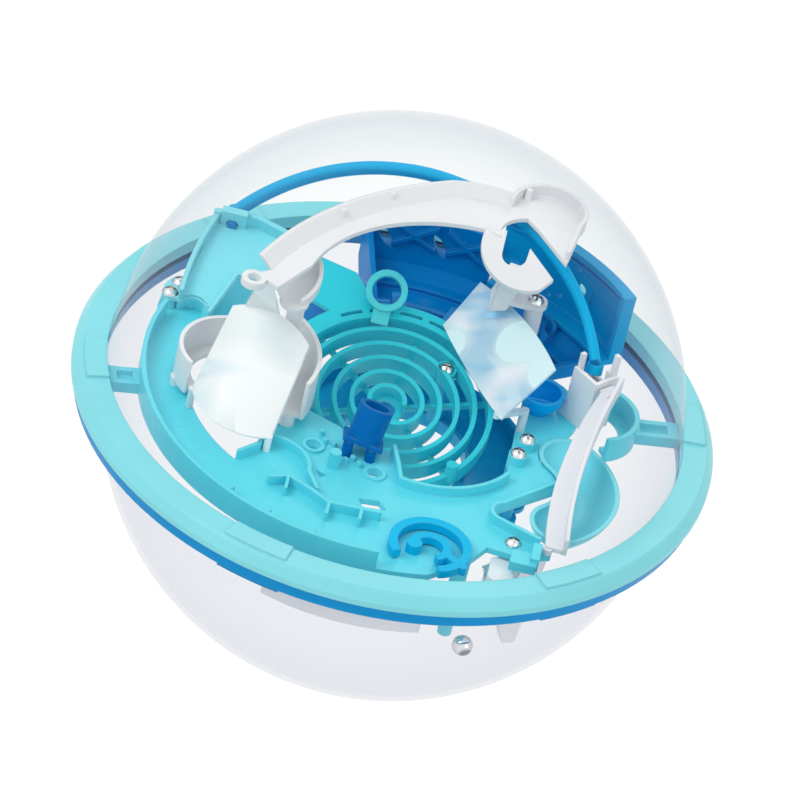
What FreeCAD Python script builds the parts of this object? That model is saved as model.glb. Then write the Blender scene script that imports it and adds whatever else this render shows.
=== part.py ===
import FreeCAD, Part
import math
import os

# Hand-held marble maze globe: two clear domes clamped in a two-tone rim, with a
# moulded obstacle course inside.  Millimetres, +Z up, origin at the globe's centre,
# +X towards the right-hand grip and -Y towards the player.

Vec = FreeCAD.Vector

# ---------------------------------------------------------------- driving dimensions

# rim and domes
RIM_BAND = 11.5
UPPER_RIM_HEIGHT = 6.0
LOWER_RIM_DEPTH = 5.5
RIM_TOP_DRAFT = 2.0
RIM_EDGE_ROUND = 0.8
DOME_RADIUS = 98.5
DOME_WALL = 1.6
DOME_LIFT = 1.5
FLANGE_WIDTH = 5.0
FLANGE_THICKNESS = 1.2
SEAT_CLEARANCE = 0.3
LOCK_PAD_RISE = 0.8
LOCK_PAD_COUNT = 6
LOCK_PAD_START = 6.0
LOCK_PAD_SPAN = 12.0
LOWER_STEP_RISE = 1.0

RIM_RADIUS = DOME_RADIUS + RIM_BAND

# marble, at rest against the inside of the lower dome
MARBLE_DIAMETER = 7.0
MARBLE_ANGLE = 297.5
MARBLE_HEIGHT = -31.0
ROLLING_GAP = 0.3

# white lane under the front of the deck
LANE_ANGLES = (248.0, 290.0)
LANE_WALL = 1.2
LANE_INNER_RADIUS = 64.0
LANE_OUTER_RADIUS = 75.5
LANE_WALL_HEIGHT = 4.6
LANE_UNDERSIDE = -36.0
LANE_FLOOR = 1.4
LANE_POST_ANGLES = (256.0, 281.0)
LANE_POST_RADIUS = 66.6

# main deck
DECK_TOP = 1.2
DECK_THICKNESS = 2.2
DECK_CENTRE_Y = -4.0
DECK_RADIUS = 86.7
DECK_LANE_WIDTH = 17.5
DECK_WALL_HEIGHT = 6.8
WALL = 1.6
LOW_WALL_HEIGHT = 3.6
ARM_WIDTH = 9.0
ARM_THICKNESS = 4.0
ARM_ANGLES = (193.5, 12.5)
ARM_GRIP = 3.4

# vortex
VORTEX_CENTRE = (-2.5, 0.0, 2.0)
VORTEX_TILT = 16.0
VORTEX_INNER_RADIUS = 6.0
VORTEX_PITCH = 6.0
VORTEX_TURNS = 4.5
VORTEX_WALL_HEIGHT = 6.8
VORTEX_RIB = 2.0
VORTEX_RIM_GAP = 1.6
VORTEX_BAND_WIDTH = 6.0
VORTEX_BAND_DEPTH = 2.0
VORTEX_SCREW_INSET = 6.5
VORTEX_SCREW_ANGLE = 50.0
VORTEX_SCREW_SINK = 2.4
VORTEX_FOOT_ANGLES = (236.0, 318.0)

# raised tracks
TRACK_FLOOR = 1.6
HIGH_TRACK_Z = 50.0
HIGH_TRACK_WALL = 5.0
HOOK_TILT = 20.0
HOOK_CENTRE = (30.5, 36.0, 49.0)
TAB_TOP = 30.0
TAB_SCREW = (38.8, 37.0)
RAIL_RIDGE = 1.8
RAIL_SPREAD = 3.6

# rear trough and its tall right wall
TROUGH_INNER = 50.0
TROUGH_LOW = 6.0
TROUGH_OUTER = 84.0
TROUGH_FLOOR = -3.0
TROUGH_HIGH = 21.0
TROUGH_LOW_RIM = 6.0
TROUGH_WALL = 1.8
TROUGH_ANGLES = (38.0, 107.0)
TROUGH_WALL_START = 74.6
TROUGH_CROSS_ANGLES = (81.2, 94.6)
TROUGH_TAIL_WIDTH = 16.0
TROUGH_TAIL_END = 134.0
LUG_ANGLES = (74.0, 98.0)
LUG_OVERLAP = 2.6
LUG_WIDTH = 5.0
LUG_DEPTH = 4.4
SIDE_PLATE_STANDOFF = 4.0
SIDE_PLATE_ANGLES = (35.0, 74.2)
SIDE_PLATE_TOP = 31.5
SIDE_PLATE_WALL = 1.8

# right side
BOWL_PLACE = (48.0, 15.4)
BOWL_RADIUS = 8.0
BOWL_SEAT = 0.2
BUCKET_WIDTH = 11.5
BUCKET_LENGTH = 10.5
BUCKET_TOP = 22.0
BUCKET_TURN = -42.0
BUCKET_WALL = 1.5
BUCKET_FLOOR = 11.0
RIGHT_BOWL_CENTRE = (46.0, -27.0)
RIGHT_BOWL_ANGLES = (-46.0, 50.0)
RIGHT_BOWL_INNER = 14.0
RIGHT_BOWL_OUTER = 35.0
RIGHT_BOWL_TOP = 2.2
RIGHT_BOWL_DEPTH = 8.0
RIGHT_BOWL_WALL = 1.6

# tray under the vortex
TRAY_CENTRE = (6.0, 4.0)
TRAY_INNER = 22.0
TRAY_OUTER = 44.0
TRAY_ANGLES = (-50.0, 190.0)
TRAY_HEIGHT = -24.0

# front scroll and the boss under the front lane
SCROLL_CENTRE = (22.5, -75.5)
SCROLL_RADIUS = 12.5
FRONT_BOSS = (34.0, -68.5)
FRONT_BOSS_FOOT = -35.0

# fasteners
SCREW_HEAD_RADIUS = 2.8
SCREW_HEAD_HEIGHT = 2.0
SCREW_SHANK_RADIUS = 1.2
SCREW_LENGTH = 7.0
POST_RADIUS = 3.2

DECK_BOTTOM = DECK_TOP - DECK_THICKNESS
DOME_INNER = DOME_RADIUS - DOME_WALL
BOWL_CENTRE = (BOWL_PLACE[0], BOWL_PLACE[1], DECK_TOP + BOWL_SEAT + BOWL_RADIUS)
BUCKET_CORNER = (BOWL_PLACE[0] + BOWL_RADIUS + SEAT_CLEARANCE, BOWL_PLACE[1] + 0.5, DECK_TOP)

# arch rail: two ends and a point at its crown
EAR_POINT = Vec(-68.5, 56.0, 22.5)
ARCH_TOP = Vec(-17.0, 71.0, 46.0)
ARCH_END = Vec(BUCKET_CORNER[0] + 6.6, BUCKET_CORNER[1] + 5.2, BUCKET_TOP)


# ---------------------------------------------------------------- building helpers

def at(x, y, z=0.0):
    return Vec(x, y, z)


def polar(radius, degrees, z=0.0, centre=(0.0, 0.0)):
    angle = math.radians(degrees)
    return Vec(centre[0] + radius * math.cos(angle), centre[1] + radius * math.sin(angle), z)


def edges_along(start, *steps):
    """Edges from a start point; a step is an end point, or a (through, end) pair for an arc."""
    edges = []
    here = start
    for step in steps:
        if isinstance(step, tuple):
            through, end = step
            edges.append(Part.Arc(here, through, end).toShape())
        else:
            end = step
            edges.append(Part.LineSegment(here, end).toShape())
        here = end
    return edges


def path(start, *steps):
    return Part.Wire(edges_along(start, *steps))


def outline(start, *steps):
    """Closed flat outline, closed by a straight edge where its end isn't its start."""
    edges = edges_along(start, *steps)
    last = edges[-1].Vertexes[-1].Point
    ends = [vertex.Point for vertex in edges[-1].Vertexes]
    if all(point.distanceToPoint(start) > 1e-6 for point in ends):
        edges.append(Part.LineSegment(last, start).toShape())
    return Part.Wire(edges)


def prism(wire, height):
    return Part.Face(wire).extrude(Vec(0, 0, height))


def fence(wire, thickness, height):
    """Wall of even thickness standing along an open path, with round ends."""
    return wire.makeOffset2D(thickness / 2, 0, True, False, False).extrude(Vec(0, 0, height))


def strut(a, b, thickness, height):
    """Straight wall with round ends between two points."""
    along = (b - a).normalize()
    side = Vec(-along.y, along.x, 0) * (thickness / 2)
    nose = along * (thickness / 2)
    wire = outline(a + side, (a - nose, a - side), b - side, (b + nose, b + side))
    return prism(wire, height)


def disc(radius, z, height, x=0.0, y=0.0):
    return Part.makeCylinder(radius, height, Vec(x, y, z))


def tube(outer, inner, z, height, x=0.0, y=0.0):
    return disc(outer, z, height, x, y).cut(disc(inner, z - 1, height + 2, x, y))


def sector(inner, outer, start, end, z, height, centre=(0.0, 0.0)):
    """Block between two radii and two angles in degrees."""
    middle = (start + end) / 2
    wire = outline(
        polar(inner, start, z, centre),
        polar(outer, start, z, centre),
        (polar(outer, middle, z, centre), polar(outer, end, z, centre)),
        polar(inner, end, z, centre),
        (polar(inner, middle, z, centre), polar(inner, start, z, centre)),
    )
    return prism(wire, height)


def spin(wire, start, end):
    """Turn a closed outline drawn in the XZ plane about Z between two angles."""
    face = Part.Face(wire)
    face.rotate(Vec(0, 0, 0), Vec(0, 0, 1), start)
    return face.revolve(Vec(0, 0, 0), Vec(0, 0, 1), end - start)


def section(*points):
    return Part.makePolygon([Vec(r, 0, z) for r, z in points] + [Vec(points[0][0], 0, points[0][1])])


def joined(*shapes):
    return shapes[0].multiFuse(list(shapes[1:])).removeSplitter()


def tilted(shape, pivot, degrees, axis=Vec(1, 0, 0)):
    copy = shape.copy()
    copy.rotate(Vec(*pivot), axis, degrees)
    return copy


def sheet(lower, upper, thickness):
    """Curved sheet ruled between two edges and thickened along a direction."""
    return Part.makeRuledSurface(lower, upper).extrude(thickness)


def arc_edge(a, b, c):
    return Part.Arc(a, b, c).toShape()


def arc_path(radius, start, end, z, centre=(0.0, 0.0)):
    """Open arc about a vertical axis between two angles in degrees."""
    middle = (start + end) / 2
    through = polar(radius, middle, z, centre)
    return path(polar(radius, start, z, centre), (through, polar(radius, end, z, centre)))


def box_section(r0, r1, z0, z1):
    return section((r0, z0), (r1, z0), (r1, z1), (r0, z1))


def save(name, shape):
    shape = shape.removeSplitter()
    if shape.ShapeType == "Compound" and len(shape.Solids) == 1:
        shape = shape.Solids[0]
    print(f"{name:22s} solids {len(shape.Solids)} valid {shape.isValid()} volume {shape.Volume:9.0f}")
    shape.exportStep(f"parts/{name}.step")


# ---------------------------------------------------------------- rim and domes

def arm_slots(half_width, z0, z1, inner, outer):
    """Radial blocks where the deck's two arms pass out to the rim."""
    blocks = []
    for angle in ARM_ANGLES:
        block = Part.makeBox(outer - inner, 2 * half_width, z1 - z0, Vec(inner, -half_width, z0))
        block.rotate(Vec(0, 0, 0), Vec(0, 0, 1), angle)
        blocks.append(block)
    return Part.makeCompound(blocks)


def lock_pad_angles():
    """Start and end of each locking block round the rim."""
    spacing = 360.0 / LOCK_PAD_COUNT
    starts = [LOCK_PAD_START + k * spacing for k in range(LOCK_PAD_COUNT)]
    return [(a, a + LOCK_PAD_SPAN) for a in starts]


def dome(up):
    side = 1.0 if up else -1.0
    lift = side * DOME_LIFT
    quarter = math.sqrt(0.5)
    edges = edges_along(
        Vec(DOME_INNER, 0, 0),
        Vec(DOME_RADIUS + FLANGE_WIDTH, 0, 0),
        Vec(DOME_RADIUS + FLANGE_WIDTH, 0, side * FLANGE_THICKNESS),
        Vec(DOME_RADIUS, 0, side * FLANGE_THICKNESS),
        Vec(DOME_RADIUS, 0, lift),
        (
            Vec(DOME_RADIUS * quarter, 0, lift + side * DOME_RADIUS * quarter),
            Vec(0, 0, lift + side * DOME_RADIUS),
        ),
        Vec(0, 0, lift + side * DOME_INNER),
        (Vec(DOME_INNER * quarter, 0, lift + side * DOME_INNER * quarter), Vec(DOME_INNER, 0, lift)),
        Vec(DOME_INNER, 0, 0),
    )
    shell = Part.Face(Part.Wire(edges)).revolve(Vec(0, 0, 0), Vec(0, 0, 1), 360)
    half = ARM_WIDTH / 2 + SEAT_CLEARANCE
    reach = ARM_THICKNESS / 2 + SEAT_CLEARANCE
    return shell.cut(arm_slots(half, -reach, reach, DOME_INNER - 3, RIM_RADIUS))


def upper_rim():
    seat = DOME_RADIUS + FLANGE_WIDTH + SEAT_CLEARANCE
    bore = DOME_RADIUS + SEAT_CLEARANCE
    floor = FLANGE_THICKNESS
    ring = spin(
        section(
            (seat, 0),
            (RIM_RADIUS, 0),
            (RIM_RADIUS, UPPER_RIM_HEIGHT * 0.35),
            (RIM_RADIUS - RIM_TOP_DRAFT, UPPER_RIM_HEIGHT - RIM_EDGE_ROUND),
            (RIM_RADIUS - RIM_TOP_DRAFT - RIM_EDGE_ROUND, UPPER_RIM_HEIGHT),
            (bore, UPPER_RIM_HEIGHT),
            (bore, floor),
            (seat, floor),
        ),
        0,
        360,
    )
    pads = [
        sector(bore, RIM_RADIUS - RIM_TOP_DRAFT - 1.6, a, b, UPPER_RIM_HEIGHT - 1, 1 + LOCK_PAD_RISE)
        for a, b in lock_pad_angles()
    ]
    half = ARM_WIDTH / 2 + SEAT_CLEARANCE
    reach = seat + ARM_GRIP + SEAT_CLEARANCE
    pockets = arm_slots(half, -1, ARM_THICKNESS / 2 + SEAT_CLEARANCE, bore - 2, reach)
    return joined(ring, *pads).cut(pockets)


def lower_rim():
    seat = DOME_RADIUS + FLANGE_WIDTH + SEAT_CLEARANCE
    bore = DOME_RADIUS + SEAT_CLEARANCE
    outer = RIM_RADIUS - 0.4
    ring = spin(
        section(
            (seat, 0),
            (outer, 0),
            (outer - 1.0, -LOWER_RIM_DEPTH + RIM_EDGE_ROUND),
            (outer - 1.0 - RIM_EDGE_ROUND, -LOWER_RIM_DEPTH),
            (bore, -LOWER_RIM_DEPTH),
            (bore, -FLANGE_THICKNESS),
            (seat, -FLANGE_THICKNESS),
        ),
        0,
        360,
    )
    steps = [
        sector(seat - 1, outer - 2.2, a, b, -LOWER_RIM_DEPTH - LOWER_STEP_RISE, LOWER_STEP_RISE + 1)
        for a, b in lock_pad_angles()
    ]
    half = ARM_WIDTH / 2 + SEAT_CLEARANCE
    reach = seat + ARM_GRIP + SEAT_CLEARANCE
    pockets = arm_slots(half, -ARM_THICKNESS / 2 - SEAT_CLEARANCE, 1, bore - 2, reach)
    return joined(ring, *steps).cut(pockets)


# ---------------------------------------------------------------- main deck

DECK_CENTRE = (0.0, DECK_CENTRE_Y)
OPENING_CENTRE = (15.0, -14.0)
OPENING_RADIUS = 30.0
DECK_SCREWS = ((46.5, -7.0), (44.5, -16.0), (49.0, -60.0))
EAR_SCREWS = ((-82.8, 24.2), (-80.6, 31.0))
EAR_LUG_Z = 5.0
RING_BOSSES = ((-22.8, -34.2), (-0.8, -41.4))
BOSS_TOP = 4.6


def deck_outline(z):
    """The deck seen from above: left lane, front lane and the apron round the vortex."""

    def rim(angle):
        return polar(DECK_RADIUS, angle, z, DECK_CENTRE)

    def lane(angle):
        return polar(DECK_RADIUS - DECK_LANE_WIDTH, angle, z, DECK_CENTRE)

    def mouth(angle):
        return polar(OPENING_RADIUS, angle, z, OPENING_CENTRE)

    return outline(
        rim(158),
        (rim(205), rim(250)),
        (rim(268), rim(286)),
        at(35, -77, z),
        at(41, -65.5, z),
        at(51, -66.5, z),
        at(62, -62, z),
        at(59, -58, z),
        at(43, -52, z),
        (at(39, -48, z), at(42, -44, z)),
        at(60, -26, z),
        at(60, 6, z),
        (at(62, 20, z), at(56, 31, z)),
        (at(49, 33.5, z), at(42.5, 28, z)),
        at(42, 4, z),
        mouth(335),
        (mouth(300), mouth(255)),
        at(7, -36, z),
        at(4, -27, z),
        at(-6, -28, z),
        at(-16, -20, z),
        at(-30, -14, z),
        at(-39, -36, z),
        at(-41, -44, z),
        at(-47, -51, z),
        (lane(203), lane(158)),
        at(-58, 31, z),
        at(-55.5, 50, z),
        at(-70, 50, z),
    )


def rim_arm(angle, start):
    """Grooved arm that runs out from the given radius into its pocket in the rim."""
    tip = DOME_RADIUS + FLANGE_WIDTH + SEAT_CLEARANCE + ARM_GRIP
    side = -ARM_WIDTH / 2
    bar = Part.makeBox(tip - start, ARM_WIDTH, ARM_THICKNESS, Vec(start, side, -ARM_THICKNESS / 2))
    groove = Part.makeBox(DOME_INNER - start - 6, ARM_WIDTH - 4.4, 2.4, Vec(start + 4, side + 2.2, 0.2))
    return tilted(bar.cut(groove), (0, 0, 0), angle, Vec(0, 0, 1))


def main_deck():
    """Turquoise moulding: floor, kerbs, pegs, bosses and the two arms held in the rim."""
    floor = prism(deck_outline(DECK_BOTTOM), DECK_THICKNESS)
    z = DECK_TOP - 0.4
    outer_kerb = arc_path(DECK_RADIUS - WALL / 2, 165.5, 274, z, DECK_CENTRE)
    lane_edge = DECK_RADIUS - DECK_LANE_WIDTH + 0.6
    low = LOW_WALL_HEIGHT + 0.4
    mouth = OPENING_RADIUS + 0.8
    front_step = path(at(-34, -60, z), at(-28, -57, z), at(-19, -62, z), at(-13, -66, z), at(4, -65, z))
    left_step = path(at(-46, -50.5, z), at(-40.3, -44, z), at(-38.5, -36.5, z))
    inlet = path(at(57, -58.6, z), at(43, -53, z), (at(39.8, -48, z), at(43, -44, z)), at(58.5, -27, z))
    opening_edge = path(
        polar(mouth, 334, z, OPENING_CENTRE),
        (polar(mouth, 300, z, OPENING_CENTRE), polar(mouth, 257, z, OPENING_CENTRE)),
        at(6.2, -36.5, z),
        at(3.6, -28, z),
    )
    divider = path(at(-36, -38, z), (at(-26, -42, z), at(-22, -52, z)), at(-18, -60, z))
    walls = [
        fence(outer_kerb, WALL, DECK_WALL_HEIGHT + 0.4),
        fence(arc_path(lane_edge, 160, 197.5, z, DECK_CENTRE), 1.2, 2.0),
        fence(front_step, 1.5, low),
    ]
    walls += [fence(wire, 1.4, low) for wire in (left_step, inlet, opening_edge, divider)]
    cross_ribs = [
        strut(polar(DECK_RADIUS - 1, a, z, DECK_CENTRE), polar(DECK_RADIUS - 7, a, z, DECK_CENTRE), 1.2, low)
        for a in (236, 247, 259, 268)
    ]
    rib_places = ((-13, -66), (-2, -65), (-28, -58))
    cross_ribs += [strut(at(x, y, z), at(x, y - 6, z), 1.2, low) for x, y in rib_places]
    peg_places = ((-19, -31), (-16, -32), (-9, -37), (-11.2, -39), (-6.6, -39.4), (-21, -27))
    pegs = [disc(0.9, z, 2.4, x, y) for x, y in peg_places]
    tall_peg = disc(2.0, z, 6.8, -14.8, -42.5)
    ring_bosses = [disc(4.0, z, 1.3, x, y) for x, y in RING_BOSSES]
    bosses = [disc(POST_RADIUS, DECK_BOTTOM, BOSS_TOP - DECK_BOTTOM, x, y) for x, y in DECK_SCREWS[:2]]
    ear = prism(
        outline(
            at(-74, 24, DECK_BOTTOM),
            at(-84.5, 17, DECK_BOTTOM),
            (at(-86, 26, DECK_BOTTOM), at(-81, 36, DECK_BOTTOM)),
            at(-74, 34, DECK_BOTTOM),
        ),
        DECK_THICKNESS,
    )
    ear_posts = [disc(POST_RADIUS - 0.4, DECK_BOTTOM, EAR_LUG_Z - DECK_BOTTOM, x, y) for x, y in EAR_SCREWS]
    clip = joined(
        Part.makeBox(9, 7, 3.4, Vec(49, -73, DECK_TOP - 1)),
        Part.makeBox(3, 9, 5.0, Vec(55.5, -71, DECK_TOP - 1)),
    )
    arm = rim_arm(ARM_ANGLES[0], DECK_RADIUS - 1.4)
    boss_foot = at(*FRONT_BOSS, FRONT_BOSS_FOOT)
    front_boss = Part.makeCone(2.4, 3.0, DECK_BOTTOM - FRONT_BOSS_FOOT, boss_foot)
    round_parts = [*pegs, tall_peg, *ring_bosses, *bosses, *ear_posts, front_boss]
    body = joined(floor, *walls, *cross_ribs, *round_parts, ear, clip, arm)
    holes = [disc(2.5, -3, 8, x, y) for x, y in RING_BOSSES]
    holes += [disc(SCREW_SHANK_RADIUS, -3, 12, x, y) for x, y in DECK_SCREWS + EAR_SCREWS]
    slit = prism(outline(at(-4, -56, -3), at(3, -55, -3), at(6, -59, -3), at(-2, -60, -3)), 8)
    pinhole = prism(outline(at(-20, -46.5, -3), at(-16, -47.6, -3), at(-18, -50, -3)), 8)
    return body.cut(Part.makeCompound(holes + [slit, pinhole])).cut(bowl_solid(-SEAT_CLEARANCE))


# ---------------------------------------------------------------- vortex

def vortex_frame(shape):
    shape = tilted(shape, (0, 0, 0), VORTEX_TILT)
    shape.translate(Vec(*VORTEX_CENTRE))
    return shape


def vortex_point(radius, degrees):
    """Point of the tilted vortex plane in the globe's frame."""
    point = polar(radius, degrees)
    slope = math.radians(VORTEX_TILT)
    x, y, z = VORTEX_CENTRE
    return Vec(x + point.x, y + point.y * math.cos(slope), z + point.y * math.sin(slope))


def vortex_screw_seat():
    """Seat of the vortex screw in the globe's frame, on its sunk boss."""
    seat = vortex_frame(Part.Vertex(*vortex_screw_place()[:2], -VORTEX_SCREW_SINK))
    return seat.Point


def band_underside(y):
    """Height of the underside of the vortex's outer band at a distance behind the globe's axis."""
    slope = math.radians(VORTEX_TILT)
    along = (y - VORTEX_CENTRE[1] - VORTEX_BAND_DEPTH * math.sin(slope)) / math.cos(slope)
    return VORTEX_CENTRE[2] + along * math.sin(slope) - VORTEX_BAND_DEPTH * math.cos(slope)


def vortex_outer_radius():
    return VORTEX_INNER_RADIUS + VORTEX_PITCH * VORTEX_TURNS


def vortex_screw_place():
    return polar(vortex_outer_radius() - VORTEX_SCREW_INSET, VORTEX_SCREW_ANGLE)


def spiral_path(z):
    """Half circles on two alternating centres, each larger than the last by half a pitch."""
    steps = []
    radius = VORTEX_INNER_RADIUS
    here = Vec(radius, 0, z)
    start = here
    turn = 1.0
    for _ in range(int(2 * VORTEX_TURNS)):
        centre_x = here.x - turn * radius
        top = Vec(centre_x, turn * radius, z)
        end = Vec(centre_x - turn * radius, 0, z)
        steps.append((top, end))
        here = end
        turn = -turn
        radius += VORTEX_PITCH / 2
    return path(start, *steps)


def spiral_vortex():
    """Spiral lane in a tilted plane: one rising kerb on radial ribs, with a broad outer band."""
    outer = vortex_outer_radius()
    bottom = -VORTEX_WALL_HEIGHT
    kerb = fence(spiral_path(bottom), WALL, VORTEX_WALL_HEIGHT)
    rib_length = outer + 4.2 - VORTEX_INNER_RADIUS
    rib = Part.makeBox(rib_length, 1.5, VORTEX_RIB, Vec(VORTEX_INNER_RADIUS - 1.5, -0.75, bottom))
    ribs = [tilted(rib, (0, 0, 0), angle, Vec(0, 0, 1)) for angle in (20, 80, 140, 200, 260, 320)]
    hub = tube(VORTEX_INNER_RADIUS, VORTEX_INNER_RADIUS - 2.2, bottom, VORTEX_RIB)
    rim = tube(outer + VORTEX_RIM_GAP + 1.8, outer + VORTEX_RIM_GAP, bottom, VORTEX_WALL_HEIGHT)
    band_z = -VORTEX_BAND_DEPTH
    band = sector(outer + 1.8, outer + 1.8 + VORTEX_BAND_WIDTH, 8, 152, band_z, VORTEX_BAND_DEPTH)
    shelf_places = ((4, 126), (19, 136), (32, 124), (21, 112), (7, 107))
    shelf_corners = [polar(outer + reach, angle, band_z) for reach, angle in shelf_places]
    shelf = prism(outline(*shelf_corners), VORTEX_BAND_DEPTH)
    slots = [sector(outer + 3.8, outer + 5.2, a, a + 12, -5, 10) for a in (50, 66, 82, 98, 114)]
    x, y = vortex_screw_place()[:2]
    seat_z = -VORTEX_SCREW_SINK
    boss = disc(3.6, bottom, seat_z - bottom, x, y)
    body = joined(kerb, hub, rim, band, shelf, boss, *ribs)
    bore = disc(SCREW_SHANK_RADIUS, bottom - 1, VORTEX_WALL_HEIGHT + 2, x, y)
    head_room = disc(SCREW_HEAD_RADIUS + SEAT_CLEARANCE, seat_z, VORTEX_SCREW_SINK + 1, x, y)
    body = vortex_frame(body.cut(Part.makeCompound(slots + [bore, head_room])))
    feet = []
    for angle in VORTEX_FOOT_ANGLES:
        seat = vortex_point(outer + 2.5, angle)
        feet.append(disc(2.0, seat.z - 3.0, DECK_BOTTOM - seat.z + 3.0, seat.x, seat.y))
    return joined(body, *feet)


def ball_hoop():
    """Short ring standing on a tab of the vortex's rear band."""
    ring = tube(7.2, 5.0, -2.8, 5.4)
    tab = Part.makeBox(6.0, 6.2, 2.0, Vec(-3.0, -11.7, -1.0))
    hoop = tilted(joined(ring, tab.cut(disc(5.0, -3, 6))), (0, 0, 0), 48)
    hoop.translate(vortex_point(vortex_outer_radius() + 3.6, 104) + Vec(0, 4.6, 6.0))
    return hoop.cut(spiral_vortex())


def vortex_cup():
    """Blue drop tube leaning back over the vortex, on a square foot and two short legs."""
    barrel = tube(5.9, 4.4, 1.0, 12.5)
    foot = Part.makeBox(14, 11, 1.6, Vec(-7, -5.5, 0)).cut(disc(4.4, -1, 4))
    cup = tilted(joined(barrel, foot), (0, 0, 0), -20, Vec(1, 0, 0))
    cup = tilted(cup, (0, 0, 0), 10, Vec(0, 1, 0))
    cup.translate(Vec(-7.2, -31.0, DECK_TOP + 4.0))
    legs = [disc(1.8, DECK_TOP, height, x, -34.5) for x, height in ((-11.5, 6.4), (-3.5, 5.0))]
    return joined(cup, *legs)


# ---------------------------------------------------------------- left side

CHUTE_TILT = 20.0
CHUTE_PIVOT = (-70.0, 18.0, 4.5)


def chute_frame(shape):
    return tilted(shape, CHUTE_PIVOT, CHUTE_TILT)


def ear_block(clearance):
    """Upright ear at the head of the ramp, enlarged all round by the clearance."""
    grow = 2 * clearance
    corner = Vec(-72.5 - clearance, 55.8 - clearance, CHUTE_PIVOT[2] - clearance)
    return chute_frame(Part.makeBox(9.0 + grow, 2.6 + grow, 9.0 + grow, corner))


def ramp_chute():
    """Turquoise ramp that drops from the rear left onto the left lane."""
    z = CHUTE_PIVOT[2]
    plate = prism(
        outline(
            at(-79.5, 22, z),
            at(-74, 58, z),
            at(-60, 60, z),
            at(-40, 52, z),
            (at(-50, 44, z), at(-57, 36, z)),
            at(-62, 36, z),
            at(-68, 18, z),
            (at(-72, 24, z), at(-79.5, 22, z)),
        ),
        TRACK_FLOOR,
    )
    left_wall = fence(path(at(-79, 23, z), (at(-77.5, 42, z), at(-73.5, 57.5, z))), WALL, 6.0)
    lip_edge = path(at(-68.2, 19, z), at(-62.4, 36.6, z), at(-57, 36.6, z), at(-50, 45, z))
    right_lip = fence(lip_edge, 1.3, 3.0)
    back_wall = fence(path(at(-74.4, 57.2, z), at(-60, 58.4, z), at(-47, 54.4, z)), 1.8, 7.0)
    foot_z = z - 7.0
    riser = fence(path(at(-79.2, 22, foot_z), (at(-72, 24, foot_z), at(-68.2, 18.4, foot_z))), 1.3, 7.4)
    ramp = chute_frame(joined(plate, left_wall, right_lip, back_wall, riser))
    ramp = ramp.cut(Part.makeBox(60, 60, 20, Vec(-100, 0, DECK_TOP - 20)))
    foot_places = ((-75.5, 26.5, 8.2), (-69.0, 22.5, 6.8))
    feet = [disc(1.8, DECK_TOP, top - DECK_TOP, x, y) for x, y, top in foot_places]
    lug = prism(
        outline(
            at(-77.5, 22, EAR_LUG_Z),
            at(-84, 21, EAR_LUG_Z),
            (at(-85.5, 26, EAR_LUG_Z), at(-82, 34, EAR_LUG_Z)),
            at(-75.5, 34, EAR_LUG_Z),
        ),
        TRACK_FLOOR,
    )
    holes = Part.makeCompound([disc(SCREW_SHANK_RADIUS, EAR_LUG_Z - 1, 4, x, y) for x, y in EAR_SCREWS])
    return joined(ramp, ear_block(0), *feet, lug.cut(holes)).cut(pin_form(SEAT_CLEARANCE))


def crescent_wall(centre, radius, start, end, z, height, thickness):
    return fence(arc_path(radius, start, end, z, centre), thickness, height)


def left_scoop():
    """White cupped wall that turns the marble back at the end of the ramp."""
    centre = (-56.5, -12.0)
    wall = crescent_wall(centre, 17.5, 96, 225, DECK_TOP + 2.0, 13.0, 1.5)
    floor = sector(12.5, 17.5, 96, 225, DECK_TOP + 2.0, 1.4, centre)
    foot = disc(2.4, DECK_TOP, 3.0, *polar(17.0, 200, 0, centre)[:2])
    return joined(wall, floor, foot)


def centre_scoop():
    """White curved wall and sloping floor beside the vortex."""
    z = 5.0
    wall = fence(path(at(-37, 9, z), (at(-28.5, -6, z), at(-29, -26, z))), 1.6, 15.0)
    floor = prism(
        outline(
            at(-37, 9, z),
            (at(-28.5, -6, z), at(-29, -26, z)),
            at(-44, -31, z),
            (at(-52, -24, z), at(-54, -12, z)),
            at(-50, 4, z),
        ),
        1.5,
    )
    foot = disc(2.6, DECK_TOP, 4.5, -33.5, -25.0)
    return joined(wall, floor, foot)


def left_shield():
    """Clear curved guard leaning over the left hollow, on two slim legs."""
    lower = arc_edge(at(-66.5, -29, 9), at(-54, -44, 8), at(-37, -43, 7))
    upper = arc_edge(at(-60, -3, 27), at(-47, -6, 31), at(-32, -15, 27))
    guard = sheet(lower, upper, Vec(0.45, 0.6, -0.85))
    tongue = sheet(
        arc_edge(at(-56, -3.9, 28.0), at(-50, -5.2, 29.8), at(-44, -7.0, 30.0)),
        arc_edge(at(-52.5, -15.0, 49.0), at(-50.5, -15.5, 49.2), at(-48.5, -16.0, 49.0)),
        Vec(0.3, 1.1, -0.3),
    )
    legs = [
        disc(1.3, DECK_TOP, 9.0 - DECK_TOP, -66.2, -29.0),
        disc(1.3, DECK_TOP, 7.2 - DECK_TOP, -37.6, -42.4),
    ]
    return joined(guard, tongue, *legs)


def track_chute():
    """White turning plate that drops from the high track's left end."""
    z = 41.0
    plate = prism(
        outline(
            at(-52, 4, z),
            at(-38, 12, z),
            (at(-33.5, 2, z), at(-35.5, -8, z)),
            (at(-39, -15, z), at(-45, -9.5, z)),
            at(-52, 4, z),
        ),
        TRACK_FLOOR,
    )
    wall = fence(path(at(-37.4, 12, z), (at(-33.6, 1, z), at(-37.5, -12, z))), 1.5, 4.0)
    link = disc(2.6, z, HIGH_TRACK_Z - z, -43, 2)
    leg = strut(at(-41, -6.0, 6.5), at(-37, -6.5, 6.5), 1.8, z - 6.5)
    return joined(tilted(joined(plate, wall), (-44, 0, z), 10.0, Vec(1, 0, 0)), link, leg)


# ---------------------------------------------------------------- high track and arch rail

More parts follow.
